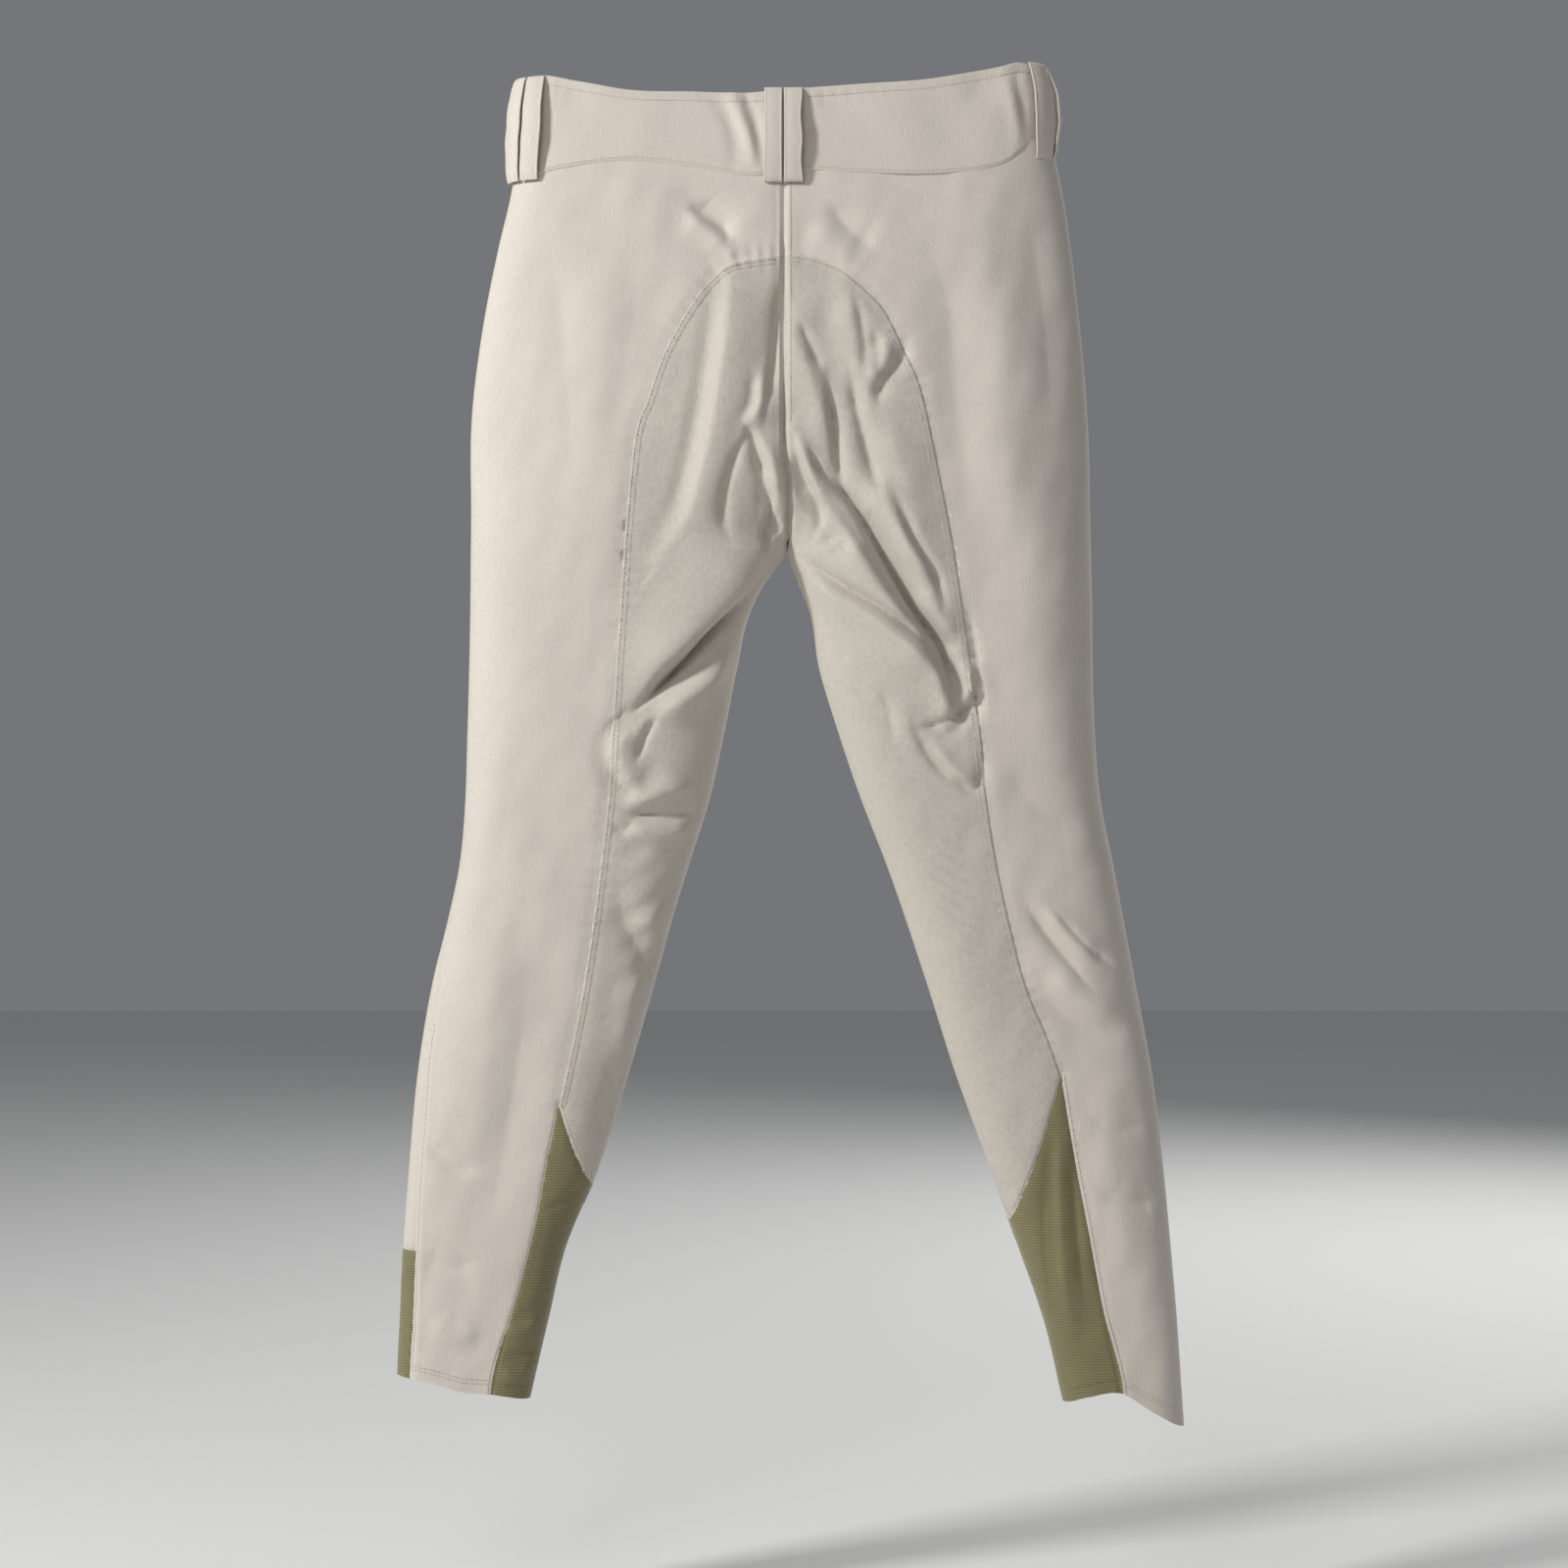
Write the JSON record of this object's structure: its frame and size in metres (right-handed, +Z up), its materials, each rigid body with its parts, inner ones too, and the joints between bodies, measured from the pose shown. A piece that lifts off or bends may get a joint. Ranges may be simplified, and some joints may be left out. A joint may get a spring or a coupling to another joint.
{
  "type": "riding breeches",
  "caption": "Full-seat riding breeches in cream stretch cloth with knit ankle socks, paired-strap belt loops, front zip and waist tab.",
  "frame": {"origin": "centre plane, level with the highest points of the waistband's top edge, halfway front to back: midway between the two places a clip hanger grips", "axes": "+Z up the body, +Y to the wearer's front, +X to the wearer's right"},
  "size_m": [0.5372, 0.08, 0.9077],
  "materials": {
    "cream_twill": "matt stretch twill",
    "seat_cloth": "brushed, slightly napped",
    "sock_knit": "fine ribbed stretch knit, slight sheen",
    "interlining": "matt bonded",
    "lining_cloth": "matt plain weave",
    "zip_tape": "woven tape",
    "zip_metal": "satin",
    "snap_metal": "satin",
    "label_ribbon": "satin ribbon, blank"
  },
  "bodies": {
    "hips": {"waistband_outer_left": "cream_twill", "waistband_outer_right": "cream_twill", "waistband_interlining_left": "interlining", "waistband_interlining_right": "interlining", "waistband_lining_left": "lining_cloth", "waistband_lining_right": "lining_cloth", "belt_loop_centre_back": "cream_twill", "belt_loop_left_back": "cream_twill", "belt_loop_right_side": "cream_twill", "belt_loop_left_front": "cream_twill", "belt_loop_right_front": "cream_twill", "waist_tab_base": "cream_twill", "snap_studs": "snap_metal", "front_panel_left_hip": "cream_twill", "front_panel_right_hip": "cream_twill", "back_panel_left_hip": "cream_twill", "back_panel_right_hip": "cream_twill", "seat_patch_left_hip": "seat_cloth", "seat_patch_right_hip": "seat_cloth", "fly_facing_left": "lining_cloth", "fly_facing_right": "lining_cloth", "fly_shield": "cream_twill", "zip_tape_left": "zip_tape", "zip_tape_right": "zip_tape", "zip_teeth_left": "zip_metal", "zip_teeth_right": "zip_metal", "zip_stops": "zip_metal", "care_label": "label_ribbon"},
    "waist_tab": {"waist_tab": "cream_twill", "snap_sockets": "snap_metal", "snap_caps": "snap_metal"},
    "zip_slider": {"zip_slider": "zip_metal"},
    "zip_pull": {"zip_pull": "zip_metal"},
    "left_thigh": {"front_panel_left_thigh": "cream_twill", "back_panel_left_thigh": "cream_twill", "seat_patch_left_thigh": "seat_cloth"},
    "left_calf": {"front_panel_left_calf": "cream_twill", "back_panel_left_calf": "cream_twill", "seat_patch_left_calf": "seat_cloth", "ankle_sock_left": "sock_knit", "hem_turn_up_left": "sock_knit"},
    "right_thigh": {"front_panel_right_thigh": "cream_twill", "back_panel_right_thigh": "cream_twill", "seat_patch_right_thigh": "seat_cloth"},
    "right_calf": {"front_panel_right_calf": "cream_twill", "back_panel_right_calf": "cream_twill", "seat_patch_right_calf": "seat_cloth", "ankle_sock_right": "sock_knit", "hem_turn_up_right": "sock_knit"}
  },
  "joints": [
    {"name": "left_thigh_fold", "type": "hinge", "parent": "hips", "child": "left_thigh", "pos_m": [0, 0.0398, -0.367], "axis": [1, 0, 0], "range_deg": [0, 95]},
    {"name": "left_knee_fold", "type": "hinge", "parent": "left_thigh", "child": "left_calf", "pos_m": [0, -0.0303, -0.6105], "axis": [-1, 0, 0], "range_deg": [0, 130]},
    {"name": "right_thigh_fold", "type": "hinge", "parent": "hips", "child": "right_thigh", "pos_m": [0, 0.0398, -0.367], "axis": [1, 0, 0], "range_deg": [0, 95]},
    {"name": "right_knee_fold", "type": "hinge", "parent": "right_thigh", "child": "right_calf", "pos_m": [0, -0.0303, -0.6105], "axis": [-1, 0, 0], "range_deg": [0, 130]},
    {"name": "waist_tab_open", "type": "hinge", "parent": "hips", "child": "waist_tab", "pos_m": [-0.0285, 0.02239, 0.00028], "axis": [0, -0.083, 0.9965], "range_deg": [0, 150]},
    {"name": "zip_slide", "type": "slide", "parent": "hips", "child": "zip_slider", "axis": [0, 0.083, -0.9965], "range_m": [0, 0.133]},
    {"name": "zip_pull_swing", "type": "hinge", "parent": "zip_slider", "child": "zip_pull", "pos_m": [0, 0.02639, -0.07665], "axis": [1, 0, 0], "range_deg": [0, 110]}
  ]
}
